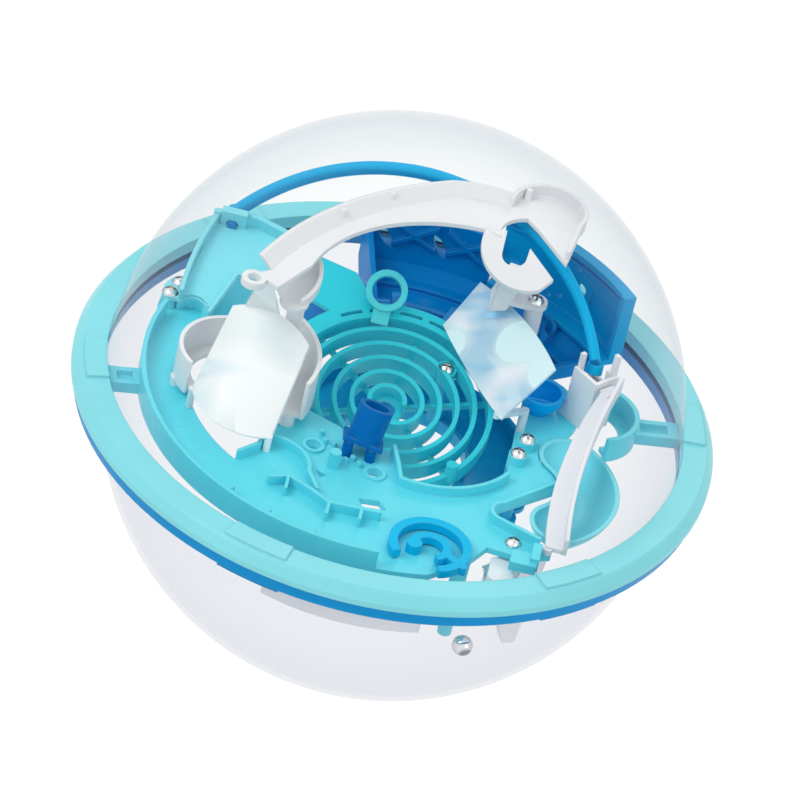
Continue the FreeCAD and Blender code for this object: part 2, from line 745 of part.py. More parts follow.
def high_track():
    """White bridge: flat floor, leaning outer kerb, round lobe, eye and hook end."""
    z = HIGH_TRACK_Z
    outer_arc = (at(-30, 25, z), at(3, 54.5, z))
    neck = at(23, 57.5, z)
    lobe = (at(38, 70, z), at(48, 51, z))
    floor = prism(
        outline(
            at(-54, -16, z),
            at(-50, -12, z),
            outer_arc,
            neck,
            lobe,
            at(45.5, 31, z),
            at(34, 47, z),
            at(29.5, 52, z),
            (at(23, 47, z), at(22, 38, z)),
            at(16, 40, z),
            (at(-8, 34, z), at(-37, -4, z)),
            at(-46, -21, z),
        ),
        TRACK_FLOOR,
    )
    foot_z = z + 0.4
    top_z = z + HIGH_TRACK_WALL
    kerb = sheet(
        arc_edge(at(-49.6, -12, foot_z), at(-29.6, 24.6, foot_z), at(3.2, 54, foot_z)),
        arc_edge(at(-55, -10, top_z), at(-34.5, 28, top_z), at(1.5, 59, top_z)),
        Vec(1.3, -1.0, 0.2),
    )
    far_kerb = sheet(
        arc_edge(at(3.0, 54, foot_z), at(13, 57, foot_z), at(23, 57.2, foot_z)),
        arc_edge(at(1.5, 59, top_z), at(12, 61, top_z), at(23, 60, top_z)),
        Vec(0, -1.5, 0.2),
    )
    low_z = z + 0.5
    lobe_edge = path(at(23, 57.2, low_z), (at(38, 69.2, low_z), at(47.3, 51, low_z)), at(45.2, 34, low_z))
    lobe_kerb = fence(lobe_edge, WALL, HIGH_TRACK_WALL - 0.5)
    stud_places = ((-31.6, 26), (-17, 42.6), (28, 63.5))
    studs = [Part.makeCone(1.5, 1.1, HIGH_TRACK_WALL + 0.6, at(x, y, z)) for x, y in stud_places]
    eye = tube(4.2, 2.2, z - 1, 2.6, -54.5, -18.5)
    hook = prism(
        outline(
            at(-13.9, 6.0, -0.8),
            (at(-12.6, -7.5, -0.8), at(-6.6, -14.2, -0.8)),
            (at(0.5, -16.6, -0.8), at(8.1, -14.6, -0.8)),
            at(11.9, -9.2, -0.8),
            at(1.9, 1.2, -0.8),
            at(1.5, -3.8, -0.8),
            (at(-3.4, -7.6, -0.8), at(-6.9, -3.2, -0.8)),
            at(-6.9, 6.0, -0.8),
        ),
        TRACK_FLOOR + 0.4,
    )
    hook = tilted(hook, (0, 0, 0), HOOK_TILT)
    hook.translate(Vec(*HOOK_CENTRE))
    return joined(floor, kerb, far_kerb, lobe_kerb, *studs, eye, hook)


def hook_bracket():
    """White wedge under the hook, with a screwed tab on a post over the trough's inner wall."""
    z = TAB_TOP - 3.5
    top_z = HOOK_CENTRE[2] - 1.0
    wedge = Part.makeLoft(
        [
            outline(at(23.9, 29.5, z), at(29.5, 32, z), at(33.0, 42.0, z), at(22.9, 41.5, z)),
            outline(at(25.6, 24.5, top_z), at(33, 23.5, top_z), at(34, 30, top_z), at(27.5, 31, top_z)),
        ],
        True,
        True,
    )
    x, y = TAB_SCREW
    base = TAB_TOP - 2.0
    tab_edge = outline(
        at(28, 33, base),
        at(x - 1, y - 4, base),
        (at(x + 4, y, base), at(x - 1, y + 4, base)),
        at(30, 41, base),
    )
    post_foot = TROUGH_LOW + 0.2
    post = disc(POST_RADIUS, post_foot, base - post_foot, x, y)
    above_hook = Part.makeBox(80, 80, 30, Vec(-40, -40, -0.8 - SEAT_CLEARANCE / 3))
    above_hook = tilted(above_hook, (0, 0, 0), HOOK_TILT)
    above_hook.translate(Vec(*HOOK_CENTRE))
    bore = disc(SCREW_SHANK_RADIUS, TAB_TOP - SCREW_LENGTH - 1, SCREW_LENGTH + 2, x, y)
    return joined(wedge, prism(tab_edge, 2.0), post).cut(Part.makeCompound([above_hook, bore]))


def arch_rail():
    """Blue rail of two round ridges, bent on one arc from the rear left ear to the bucket."""
    arc = arc_edge(EAR_POINT, ARCH_TOP, ARCH_END)
    circle = arc.Curve
    sweep = math.degrees(arc.LastParameter - arc.FirstParameter)
    radius = circle.Radius
    half = RAIL_SPREAD / 2
    rings = [Part.makeCircle(RAIL_RIDGE, Vec(radius, 0, height), Vec(0, 1, 0)) for height in (-half, half)]
    faces = [Part.Face(Part.Wire(ring)) for ring in rings]
    faces.append(Part.Face(box_section(radius - 1.0, radius + 1.0, -half, half)))
    rail = joined(*[face.revolve(Vec(0, 0, 0), Vec(0, 0, 1), sweep) for face in faces])
    across = (EAR_POINT - circle.Center).normalize()
    turn = FreeCAD.Rotation(across, circle.Axis.cross(across), circle.Axis, "XZY")
    rail.Placement = FreeCAD.Placement(circle.Center, turn)
    end = Part.makeCylinder(2.8, 3.4, ARCH_END + Vec(0.4, -1.2, -3.6), Vec(0, 0.35, 1))
    eye = Part.makeCylinder(1.0, 8.0, ARCH_END + Vec(0.4, -2.6, -5.6), Vec(0, 0.35, 1))
    knuckle = Part.makeCylinder(2.7, 2.6, EAR_POINT + Vec(0.2, 0.4, -1.0), Vec(0, 1, 0.36))
    room = [eye, pin_form(SEAT_CLEARANCE), ear_block(SEAT_CLEARANCE / 3)]
    return joined(rail, end, knuckle).cut(Part.makeCompound(room))


def pin_form(clearance):
    """Hexagonal head and shank of the ear peg, enlarged all round by the clearance."""
    hexagon = Part.makePolygon([polar(1.9 + clearance, 60 * k) for k in range(7)])
    head = Part.Face(hexagon).extrude(Vec(0, 0, 1.6))
    pin = joined(head, disc(1.1 + clearance, 0.0, 7.0 + clearance))
    turn = FreeCAD.Rotation(Vec(0, 0, 1), Vec(0, 1, 0.36))
    pin.Placement = FreeCAD.Placement(EAR_POINT + Vec(0.2, -4.4, -2.8), turn)
    return pin


def arch_rail_pin():
    """Hexagonal-headed peg that holds the arch rail to the ear."""
    return pin_form(0)


# ---------------------------------------------------------------- rear and right side

def trough_profile(full):
    """Open channel section, with its outer wall at full height or cut down to a low rim."""
    inner = TROUGH_INNER
    outer = TROUGH_OUTER
    floor = TROUGH_FLOOR
    wall = TROUGH_WALL
    low_rim = [(outer - 1.5, floor + TROUGH_LOW_RIM), (outer - 1.5 - wall, floor + TROUGH_LOW_RIM)]
    high_wall = [
        (outer, floor + 12),
        (outer, TROUGH_HIGH),
        (outer - wall, TROUGH_HIGH),
        (outer - wall, floor + 12),
    ]
    return section(
        (inner, TROUGH_LOW),
        (inner, floor + 3),
        (inner + 4, floor),
        (outer - 7, floor),
        (outer - 2, floor + 4),
        *(high_wall if full else low_rim),
        (outer - wall - 2, floor + 5.2),
        (outer - 8, floor + wall),
        (inner + 5, floor + wall),
        (inner + wall, floor + 3.8),
        (inner + wall, TROUGH_LOW),
    )


def wall_rib(start, end):
    """Straight rib on the inside of the trough's outer wall between two (angle, height) points."""
    wall_face = TROUGH_OUTER - TROUGH_WALL
    width = Vec(0, 0, 1.8)
    near = [polar(wall_face - 1.6, *point) for point in (start, end)]
    far = [polar(wall_face + 0.6, *point) for point in (start, end)]
    sides = [Part.makePolygon([a, b, b + width, a + width, a]) for a, b in (near, far)]
    return Part.makeLoft(sides, True, True)


def leaf(angle, z, length, width, lean):
    """Cutter for a leaf-shaped window through the trough's outer wall."""
    half = length / 2
    right = (Vec(0, width / 2, 0), Vec(0, 0, half))
    left = (Vec(0, -width / 2, 0), Vec(0, 0, -half))
    side = outline(Vec(0, 0, -half), right, left)
    cut = Part.Face(side).extrude(Vec(9, 0, 0))
    cut.rotate(Vec(0, 0, 0), Vec(1, 0, 0), lean)
    cut.translate(Vec(TROUGH_OUTER - 7, 0, z))
    cut.rotate(Vec(0, 0, 0), Vec(0, 0, 1), angle)
    return cut


def trough_gusset():
    """Sloping web with a leaf-shaped window, on the trough's floor in front of the side wall."""
    outer = TROUGH_OUTER
    corners = [polar(outer - 5.5, 55.4, 7.0), polar(outer - 5.8, 51.5, 4.2), polar(outer - 14.3, 51.3, -2.2)]
    web = Part.Face(Part.makePolygon(corners + corners[:1])).extrude(Vec(0, 0, -14))
    web = web.common(disc(outer, TROUGH_FLOOR + 0.6, 20))
    tip = polar(outer - 7.3, 55.0, -1)
    far_side = (polar(outer - 6.6, 52.7, -1), polar(outer - 9.4, 51.5, -1))
    near_side = (polar(outer - 9.4, 53.3, -1), tip)
    return web.cut(prism(outline(tip, far_side, near_side), 12))


def trough_end(start, end, outer, top):
    """Filled end of the trough between two angles, within its own section."""
    floor = TROUGH_FLOOR
    inner = TROUGH_INNER + 1
    edge = outer - 1
    wire = section(
        (inner, floor + 3),
        (inner + 3, floor + 0.9),
        (outer - 7.5, floor + 0.9),
        (outer - 2.6, floor + 4.5),
        (edge - 1.6, top),
        (inner, min(top, TROUGH_LOW - 1)),
    )
    return spin(wire, start, end)


def trough_tail():
    """Low open channel that carries the trough on round behind the vortex."""
    inner = TROUGH_INNER
    outer = TROUGH_INNER + TROUGH_TAIL_WIDTH
    floor = TROUGH_FLOOR
    wall = TROUGH_WALL
    wire = section(
        (inner, floor + 4),
        (inner, floor),
        (outer, floor),
        (outer, floor + 4),
        (outer - wall, floor + 4),
        (outer - wall, floor + wall),
        (inner + wall, floor + wall),
        (inner + wall, floor + 4),
    )
    return spin(wire, TROUGH_ANGLES[1] - 1.0, TROUGH_TAIL_END)


def rear_trough():
    """Dark blue boat-shaped channel behind the vortex, with crossed ribs and leaf-shaped windows."""
    start, end = TROUGH_ANGLES
    low_part = spin(trough_profile(False), start, TROUGH_WALL_START)
    high_part = spin(trough_profile(True), TROUGH_WALL_START, end)
    low_end = trough_end(start, start + 1.6, TROUGH_OUTER, TROUGH_FLOOR + 5.5)
    high_end = trough_end(end - 1.6, end, TROUGH_OUTER + 1.8, TROUGH_HIGH - 5)
    ribs = []
    for a in TROUGH_CROSS_ANGLES:
        ribs.append(wall_rib((a - 5.5, 8.0), (a + 5.5, 17.5)))
        ribs.append(wall_rib((a + 5.5, 8.0), (a - 5.5, 17.5)))
    low = TROUGH_FLOOR + 1
    rails = [
        spin(box_section(r, r + 1.4, low, low + 2.4), start + 1, end - 1)
        for r in (TROUGH_INNER + 9, TROUGH_OUTER - 15)
    ]
    reach = vortex_outer_radius() + 1.8 + VORTEX_BAND_WIDTH - LUG_OVERLAP
    turn = math.radians(LUG_ANGLES[0])
    nearest_y = reach * math.sin(turn) - LUG_WIDTH / 2 * math.cos(turn)
    lug_z = band_underside(nearest_y) - SEAT_CLEARANCE / 3 - LUG_DEPTH
    lug = Part.makeBox(TROUGH_INNER + 1 - reach, LUG_WIDTH, LUG_DEPTH, Vec(reach, -LUG_WIDTH / 2, lug_z))
    lugs = [tilted(lug, (0, 0, 0), a, Vec(0, 0, 1)) for a in LUG_ANGLES]
    additions = [low_end, high_end, *ribs, *rails, *lugs, trough_gusset(), trough_tail()]
    windows = [leaf(a + 7.0, 11.0, 9.5, 3.4, -32) for a in TROUGH_CROSS_ANGLES]
    return joined(low_part, high_part, *additions).cut(Part.makeCompound(windows))


def rear_side_plate():
    """Tall blue wall standing on the trough's low rim, with a lip, a sunk panel, holes and a rib."""
    start, end = SIDE_PLATE_ANGLES
    outer = TROUGH_OUTER + SIDE_PLATE_STANDOFF
    inner = outer - SIDE_PLATE_WALL
    back = inner + 0.5
    upper = SIDE_PLATE_TOP
    lower = TROUGH_FLOOR + TROUGH_LOW_RIM + 0.2
    body = joined(
        spin(box_section(inner, outer, lower, upper), start, end),
        spin(box_section(inner - 2.4, back, upper - 2.2, upper), start, end),
        spin(box_section(inner - 1.0, back, upper - 5.6, upper - 4.6), start + 1, end - 1),
        spin(box_section(TROUGH_OUTER - 4.6, back, lower, lower + 1.8), start, end),
        spin(box_section(inner - 3.0, back, lower, upper), start, start + 1.6),
        spin(box_section(inner - 1.6, back, 11.0, 13.2), 64.0, end),
    )
    cuts = [spin(box_section(inner - 0.1, inner + 0.8, lower + 2.6, 19.5), 37.6, 48.5)]
    hole_places = [(53.6, 24.6, 1.1), (51.6, 15.0, 2.2), (51.6, 17.4, 2.2)]
    hole_places += [(57.0, 9.6, 1.0), (60.0, 7.4, 1.0)]
    for angle, z, radius in hole_places:
        hole = Part.makeCylinder(radius, 10, Vec(outer - 8, 0, z), Vec(1, 0, 0))
        cuts.append(tilted(hole, (0, 0, 0), angle, Vec(0, 0, 1)))
    return body.cut(Part.makeCompound(cuts))


def catch_bowl():
    """Blue half bowl under the right guard."""
    x, y, z = BOWL_CENTRE
    ball = Part.makeSphere(BOWL_RADIUS, Vec(x, y, z)).cut(Part.makeSphere(BOWL_RADIUS - 1.5, Vec(x, y, z)))
    bowl = ball.common(disc(BOWL_RADIUS + 1, z - BOWL_RADIUS - 1, BOWL_RADIUS + 1, x, y))
    rib_corner = Vec(x - BOWL_RADIUS + 1, y - 0.6, z - BOWL_RADIUS + 1.2)
    rib = Part.makeBox(2 * BOWL_RADIUS - 2, 1.2, 3.0, rib_corner)
    inside = Part.makeSphere(BOWL_RADIUS - 0.4, Vec(x, y, z))
    foot = tube(4.0, 1.2, DECK_TOP, 1.6, x, y).cut(Part.makeSphere(BOWL_RADIUS - 0.8, Vec(x, y, z)))
    return joined(bowl, rib.common(inside), foot)


def right_shield():
    """Clear curved guard leaning out over the catch bowl."""
    lower = arc_edge(at(10, 34, 13), at(27, 6, 10.5), at(36, -8, 11))
    upper = arc_edge(at(19, 47, 25), at(37, 29, 26), at(50, 8, 25))
    guard = sheet(lower, upper, Vec(0.5, 0.5, -0.85))
    leg = disc(1.4, DECK_TOP, 10.0 - DECK_TOP, 43.6, 1.6)
    arm = strut(at(43.6, 1.6, 9.0), at(34.5, -5.0, 9.0), 2.2, 1.6)
    return joined(guard, arm, leg)


def in_bucket_frame(shape):
    """Move a shape drawn with the bucket's front left foot at the origin into place."""
    shape = tilted(shape, (0, 0, 0), BUCKET_TURN, Vec(0, 0, 1))
    shape.translate(Vec(*BUCKET_CORNER))
    return shape


def bucket():
    """White box standing on the deck; its open corner and two prongs take the arch rail's end."""
    wall = BUCKET_WALL
    height = BUCKET_TOP - DECK_TOP
    floor = BUCKET_FLOOR - DECK_TOP
    width = BUCKET_WIDTH
    length = BUCKET_LENGTH
    cut_z = height - 5.6
    outer = Part.makeBox(width, length, height)
    inside = Part.makeBox(width - 2 * wall, length - 2 * wall, height, Vec(wall, wall, floor))
    under = Part.makeBox(width - 2 * wall, length - 2 * wall, floor - wall + 1, Vec(wall, wall, -1))
    left_gap = Part.makeBox(2 * wall, length, height, Vec(-wall / 2, 3.4, cut_z))
    back_gap = Part.makeBox(width - 3.4, 2 * wall, height, Vec(-wall, length - 1.5 * wall, cut_z))
    left_prong = Part.makeBox(wall, 1.8, height + 5.6 - floor, Vec(0, 1.4, floor))
    right_prong = Part.makeBox(2.0, wall, height + 8.0 - floor, Vec(width - 3.2, length - wall, floor))
    skirt = Part.Face(section((0.5, 0), (-2.6, 0), (0.5, 8.0))).extrude(Vec(0, wall, 0))
    body = joined(outer.cut(Part.makeCompound([inside, under, left_gap, back_gap])), skirt)
    return in_bucket_frame(joined(body, left_prong, right_prong))


def right_rail():
    """White curved rail with a kerb, from the bucket down to the front of the deck."""
    heights = (BUCKET_TOP - 1.4, 12.0, 4.0)
    left = ((66.8, 7.2), (60.0, -18.0), (59.6, -61.0))
    right = ((73.6, 12.0), (67.4, -19.0), (66.8, -61.5))

    def edge(places, rise):
        return arc_edge(*[at(x, y, z + rise) for (x, y), z in zip(places, heights)])

    floor = sheet(edge(left, 0), edge(right, 0), Vec(0, 0, -TRACK_FLOOR))
    kerb = sheet(edge(right, -TRACK_FLOOR), edge(right, 4.6), Vec(-1.4, -0.1, 0))
    foot = disc(1.8, DECK_TOP, heights[2] - DECK_TOP - 0.6, 60.4, -60.8)
    tongue_z = heights[0] - 2.1 - DECK_TOP
    tongue = Part.makeBox(4.4, 6.0, 1.5, Vec(BUCKET_WIDTH + SEAT_CLEARANCE, 1.6, tongue_z))
    return joined(floor, kerb, foot, in_bucket_frame(tongue))


def bowl_solid(trim):
    """Filled form of the bowl lane, made smaller all round by the trim."""
    start, end = RIGHT_BOWL_ANGLES
    middle = (RIGHT_BOWL_INNER + RIGHT_BOWL_OUTER) / 2
    half = (RIGHT_BOWL_OUTER - RIGHT_BOWL_INNER) / 2 - trim
    depth = RIGHT_BOWL_DEPTH - trim
    radius = (half ** 2 + depth ** 2) / (2 * depth)
    top = RIGHT_BOWL_TOP
    bottom = Vec(middle, 0, top - depth)
    shoulder_z = top - depth + radius - math.sqrt(radius ** 2 - half ** 2 / 4)
    outer_shoulder = Vec(middle + half / 2, 0, shoulder_z)
    inner_shoulder = Vec(middle - half / 2, 0, shoulder_z)
    gutter = spin(
        outline(
            Vec(middle + half, 0, top),
            (outer_shoulder, bottom),
            (inner_shoulder, Vec(middle - half, 0, top)),
        ),
        start,
        end,
    )
    quadrant = Part.Face(outline(Vec(middle, 0, top), Vec(middle + half, 0, top), (outer_shoulder, bottom)))
    caps = [
        tilted(quadrant.revolve(Vec(middle, 0, 0), Vec(0, 0, 1), sweep), (0, 0, 0), a, Vec(0, 0, 1))
        for a, sweep in ((start, -180), (end, 180))
    ]
    body = joined(gutter, *caps)
    body.translate(Vec(*RIGHT_BOWL_CENTRE, 0))
    return body


def right_bowl():
    """Turquoise smooth bowl lane with rounded ends, bent round the front right."""
    return bowl_solid(0).cut(bowl_solid(RIGHT_BOWL_WALL))


def right_crescent():
    """Turquoise curved stop by the bowl, moulded with the right arm."""
    centre = (66.0, 13.0)
    wall = crescent_wall(centre, 15.5, -62, 74, DECK_BOTTOM, 9.0, 1.8)
    floor = sector(10.5, 15.5, -62, 74, DECK_BOTTOM, 1.8, centre)
    return joined(wall, floor, rim_arm(ARM_ANGLES[1], 81.2))


# ---------------------------------------------------------------- front and lower level

def scroll_hook():
    """Blue scroll at the front: an open ring round a smaller curl on a post."""
    x, y = SCROLL_CENTRE
    z = DECK_TOP + 0.6
    ring = sector(SCROLL_RADIUS - 1.6, SCROLL_RADIUS + 1.4, -70, 215, z, 3.0, SCROLL_CENTRE)
    curl = sector(4.4, 7.2, -60, 190, z, 3.0, (x, y - 1.0))
    link = strut(at(x + 5.6, y - 3, z), at(x + SCROLL_RADIUS - 0.5, y - 7.5, z), 2.6, 3.0)
    post = disc(2.6, DECK_TOP, z - DECK_TOP + 3.0, x - 5.2, y - 1.0)
    return joined(ring, curl, link, post)


def lower_lane():
    """White gutter under the front lane, hung from the deck on two posts."""
    start, end = LANE_ANGLES
    height = LANE_FLOOR + LANE_WALL_HEIGHT
    floor = sector(LANE_INNER_RADIUS, LANE_OUTER_RADIUS, start, end, LANE_UNDERSIDE, LANE_FLOOR)
    inner = sector(LANE_INNER_RADIUS, LANE_INNER_RADIUS + LANE_WALL, start, end, LANE_UNDERSIDE, height)
    outer = sector(LANE_OUTER_RADIUS - LANE_WALL, LANE_OUTER_RADIUS, start, end, LANE_UNDERSIDE, height)
    stop = sector(LANE_INNER_RADIUS, LANE_OUTER_RADIUS, start, start + 1.0, LANE_UNDERSIDE, height)
    post_places = [polar(LANE_POST_RADIUS, angle) for angle in LANE_POST_ANGLES]
    post_height = DECK_BOTTOM - LANE_UNDERSIDE
    posts = [disc(POST_RADIUS - 0.6, LANE_UNDERSIDE, post_height, p.x, p.y) for p in post_places]
    return joined(floor, inner, outer, stop, *posts)


def front_bracket():
    """White faceted deflector that hangs from the deck in front of the lower lane."""
    wedge = Part.makeLoft(
        [
            outline(at(41, -59, -12), at(44, -62, -12), at(62, -44, -12), at(57, -41, -12)),
            outline(at(54, -53.5, -46), at(58, -51, -46), at(56, -47, -46), at(52, -49, -46)),
        ],
        True,
        True,
    )
    z = -14.0
    block = outline(at(43, -66, z), at(43, -76, z), at(47, -79, z), at(51.5, -74, z), at(51.5, -62, z))
    shelf = outline(at(43, -58, z), at(42, -64, z), at(43, -67, z), at(52, -67, z), at(55, -54, z))
    neck = Part.makeBox(7.0, 7.3, DECK_BOTTOM - z, Vec(45.5, -63.8, z))
    bore = disc(SCREW_SHANK_RADIUS, DECK_BOTTOM - SCREW_LENGTH, SCREW_LENGTH + 1, *DECK_SCREWS[2])
    return joined(wedge, prism(block, 12.0), prism(shelf, 3.0), neck).cut(bore)


def lower_tray():
    """Dark blue tray under the vortex, hung from the deck's bosses and the vortex screw."""
    z = TRAY_HEIGHT
    start, end = TRAY_ANGLES
    floor = sector(TRAY_INNER, TRAY_OUTER, start, end, z, 1.8, TRAY_CENTRE)
    kerb = sector(TRAY_OUTER - 1.6, TRAY_OUTER, start, end, z, 7.0, TRAY_CENTRE)
    inner = sector(TRAY_INNER, TRAY_INNER + 1.5, start + 30, end - 25, z, 5.0, TRAY_CENTRE)
    posts = [disc(POST_RADIUS, z, DECK_BOTTOM - z, x, y) for x, y in DECK_SCREWS[:2]]
    pads = [disc(POST_RADIUS + 1.6, z, 1.8, x, y) for x, y in DECK_SCREWS[:2]]
    seat = vortex_screw_seat()
    slope = math.radians(VORTEX_TILT)
    lean = Vec(0, -math.sin(slope), math.cos(slope))
    base = seat - lean * (VORTEX_WALL_HEIGHT - VORTEX_SCREW_SINK + 0.2)
    length = (base.z - z) / lean.z
    column = Part.makeCylinder(3.4, length - 1.0, base - lean * (length - 1.0), lean)
    bore = tilted(disc(SCREW_SHANK_RADIUS, -SCREW_LENGTH - 1, SCREW_LENGTH + 1), (0, 0, 0), VORTEX_TILT)
    bore.translate(seat)
    bores = [bore]
    for x, y in DECK_SCREWS[:2]:
        bores.append(disc(SCREW_SHANK_RADIUS, BOSS_TOP - SCREW_LENGTH - 1, SCREW_LENGTH + 1, x, y))
    return joined(floor, kerb, inner, *pads, *posts, column).cut(Part.makeCompound(bores))


def marble():
    """Steel ball lying against the inside of the lower dome."""
    reach = DOME_INNER - MARBLE_DIAMETER / 2 - ROLLING_GAP
    radius = math.sqrt(reach ** 2 - (MARBLE_HEIGHT + DOME_LIFT) ** 2)
    return Part.makeSphere(MARBLE_DIAMETER / 2, polar(radius, MARBLE_ANGLE, MARBLE_HEIGHT))


def pan_screw():
    """Cross-headed pan screw, head up, seat at z = 0."""
    top = SCREW_HEAD_HEIGHT
    radius = (SCREW_HEAD_RADIUS ** 2 + top ** 2) / (2 * top)
    ball = Part.makeSphere(radius, Vec(0, 0, top - radius))
    head = ball.common(disc(SCREW_HEAD_RADIUS, 0, top + 1))
    reach = SCREW_HEAD_RADIUS * 0.65
    slot = Part.makeBox(2 * reach, 0.8, 1.0, Vec(-reach, -0.4, top - 0.8))
    cross = Part.makeCompound([slot, tilted(slot, (0, 0, 0), 90, Vec(0, 0, 1))])
    shank = disc(SCREW_SHANK_RADIUS - 0.1, -SCREW_LENGTH, SCREW_LENGTH)
    return joined(head.cut(cross), shank)


def pan_screws():
    """All the pan screws, each seated on the boss or lug that it clamps."""
    seats = list(zip(DECK_SCREWS, (BOSS_TOP, BOSS_TOP, DECK_TOP)))
    seats += [(place, EAR_LUG_Z + TRACK_FLOOR) for place in EAR_SCREWS]
    seats.append((TAB_SCREW, TAB_TOP))
    placed = []
    for (x, y), z in seats:
        screw = pan_screw()
        screw.translate(Vec(x, y, z))
        placed.append(screw)
    tilted_screw = tilted(pan_screw(), (0, 0, 0), VORTEX_TILT)
    tilted_screw.translate(vortex_screw_seat())
    placed.append(tilted_screw)
    return Part.makeCompound(placed)


# ---------------------------------------------------------------- output

os.makedirs("parts", exist_ok=True)

PIECES = {
    "upper_dome": dome(True),
    "lower_dome": dome(False),
    "upper_rim": upper_rim(),
    "lower_rim": lower_rim(),
    "main_deck": main_deck(),
    "spiral_vortex": spiral_vortex(),
    "ball_hoop": ball_hoop(),
    "vortex_cup": vortex_cup(),
    "ramp_chute": ramp_chute(),
    "left_scoop": left_scoop(),
    "centre_scoop": centre_scoop(),
    "left_shield": left_shield(),
    "track_chute": track_chute(),
    "high_track": high_track(),
    "hook_bracket": hook_bracket(),
    "arch_rail": arch_rail(),
    "arch_rail_pin": arch_rail_pin(),
    "rear_trough": rear_trough(),
    "rear_side_plate": rear_side_plate(),
    "catch_bowl": catch_bowl(),
    "right_shield": right_shield(),
    "bucket": bucket(),
    "right_rail": right_rail(),
    "right_bowl": right_bowl(),
    "right_crescent": right_crescent(),
    "scroll_hook": scroll_hook(),
    "lower_lane": lower_lane(),
    "front_bracket": front_bracket(),
    "lower_tray": lower_tray(),
    "marble": marble(),
    "pan_screws": pan_screws(),
}
for name, shape in PIECES.items():
    save(name, shape)
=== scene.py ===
import math

import bpy
from mathutils import Matrix, Vector


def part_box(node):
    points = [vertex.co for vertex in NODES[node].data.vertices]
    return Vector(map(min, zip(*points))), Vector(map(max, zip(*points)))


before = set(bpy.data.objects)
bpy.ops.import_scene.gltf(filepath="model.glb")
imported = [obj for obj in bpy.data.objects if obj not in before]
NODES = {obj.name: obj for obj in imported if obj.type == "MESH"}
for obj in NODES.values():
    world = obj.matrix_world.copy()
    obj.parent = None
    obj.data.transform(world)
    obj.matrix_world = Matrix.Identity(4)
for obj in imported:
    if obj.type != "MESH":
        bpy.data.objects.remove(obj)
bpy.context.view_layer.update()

# Lengths are in metres. Colours named rgb are sRGB values of 0 to 255, and the others are linear RGBA.
# Noise and cell scales are in cells per metre, because every pattern runs on object coordinates.

SHELL_LIFT = 0.0015  # each half globe is centred this far above or below the rim's middle
SHELL_WALL = 0.0016
SHELL_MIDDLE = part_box("upper_dome")[1].z - SHELL_LIFT - SHELL_WALL / 2  # radius halfway through the wall
WHITE = (1.0, 1.0, 1.0, 1.0)


# ---------------------------------------------------------------- colour and node helpers

def linear(r, g, b):
    """An sRGB colour of 0 to 255 as linear RGBA."""
    def one(v):
        v /= 255.0
        return v / 12.92 if v <= 0.04045 else ((v + 0.055) / 1.055) ** 2.4
    return (one(r), one(g), one(b), 1.0)


def scaled(colour, k):
    """A linear colour made darker or lighter by the factor k."""
    return tuple(min(1.0, c * k) for c in colour[:3]) + (1.0,)


def paler(colour, share):
    """A linear colour carried a share of the way towards white."""
    return tuple(c + (1.0 - c) * share for c in colour[:3]) + (1.0,)


class Graph:
    """The node tree of a material or of the world, with short names for building it."""

    def __init__(self, owner, output_kind):
        owner.use_nodes = True
        self.owner = owner
        self.tree = owner.node_tree
        self.tree.nodes.clear()
        self.out = self.add(output_kind)

    def add(self, kind, **settings):
        node = self.tree.nodes.new(kind)
        for key, value in settings.items():
            setattr(node, key, value)
        return node

    def link(self, a, b):
        self.tree.links.new(a, b)

    def finish(self, shader):
        self.link(shader, self.out.inputs["Surface"])
        return self.owner

    def coords(self):
        return self.add("ShaderNodeTexCoord").outputs["Object"]

    def mapped(self, vector, **transform):
        """Coordinates turned by Rotation, in radians, or stretched by Scale."""
        node = self.add("ShaderNodeMapping")
        for name, value in transform.items():
            node.inputs[name].default_value = value
        self.link(vector, node.inputs["Vector"])
        return node.outputs["Vector"]

    def noise(self, scale, detail=2.0, vector=None):
        node = self.add("ShaderNodeTexNoise")
        node.inputs["Scale"].default_value = scale
        node.inputs["Detail"].default_value = detail
        self.link(vector or self.coords(), node.inputs["Vector"])
        return node.outputs["Fac"]

    def remap(self, value, low, high, start=0.3, end=0.7):
        """Carry the range start to end of a value over to low to high, and hold it there."""
        node = self.add("ShaderNodeMapRange")
        node.inputs["From Min"].default_value = start
        node.inputs["From Max"].default_value = end
        node.inputs["To Min"].default_value = low
        node.inputs["To Max"].default_value = high
        self.link(value, node.inputs["Value"])
        return node.outputs["Result"]

    def calculate(self, operation, a, b):
        """A Math node on the socket a and on b, which is a socket or a number."""
        node = self.add("ShaderNodeMath", operation=operation)
        self.link(a, node.inputs[0])
        if isinstance(b, float):
            node.inputs[1].default_value = b
        else:
            self.link(b, node.inputs[1])
        return node.outputs[0]

    def mix_colour(self, factor, a, b):
        node = self.add("ShaderNodeMix", data_type="RGBA")
        self.link(factor, node.inputs["Factor"])
        for value, socket in ((a, node.inputs["A"]), (b, node.inputs["B"])):
            if isinstance(value, tuple):
                socket.default_value = value
            else:
                self.link(value, socket)
        return node.outputs["Result"]

    def mix_shader(self, factor, a, b):
        node = self.add("ShaderNodeMixShader")
        self.link(factor, node.inputs["Fac"])
        self.link(a, node.inputs[1])
        self.link(b, node.inputs[2])
        return node.outputs["Shader"]

    def facing(self, blend):
        """Near 0 where a surface is seen square on, rising to 1 where it is seen edge-on."""
        node = self.add("ShaderNodeLayerWeight")
        node.inputs["Blend"].default_value = blend
        return node.outputs["Facing"]

    def see_through(self, tint):
        node = self.add("ShaderNodeBsdfTransparent")
        node.inputs["Color"].default_value = tint
        return node.outputs["BSDF"]

    def seen_or_mirrored(self):
        """1 for what the camera and shiny surfaces see, 0 for the light that falls on things."""
        path = self.add("ShaderNodeLightPath")
        return self.calculate("MAXIMUM", path.outputs["Is Camera Ray"], path.outputs["Is Glossy Ray"])


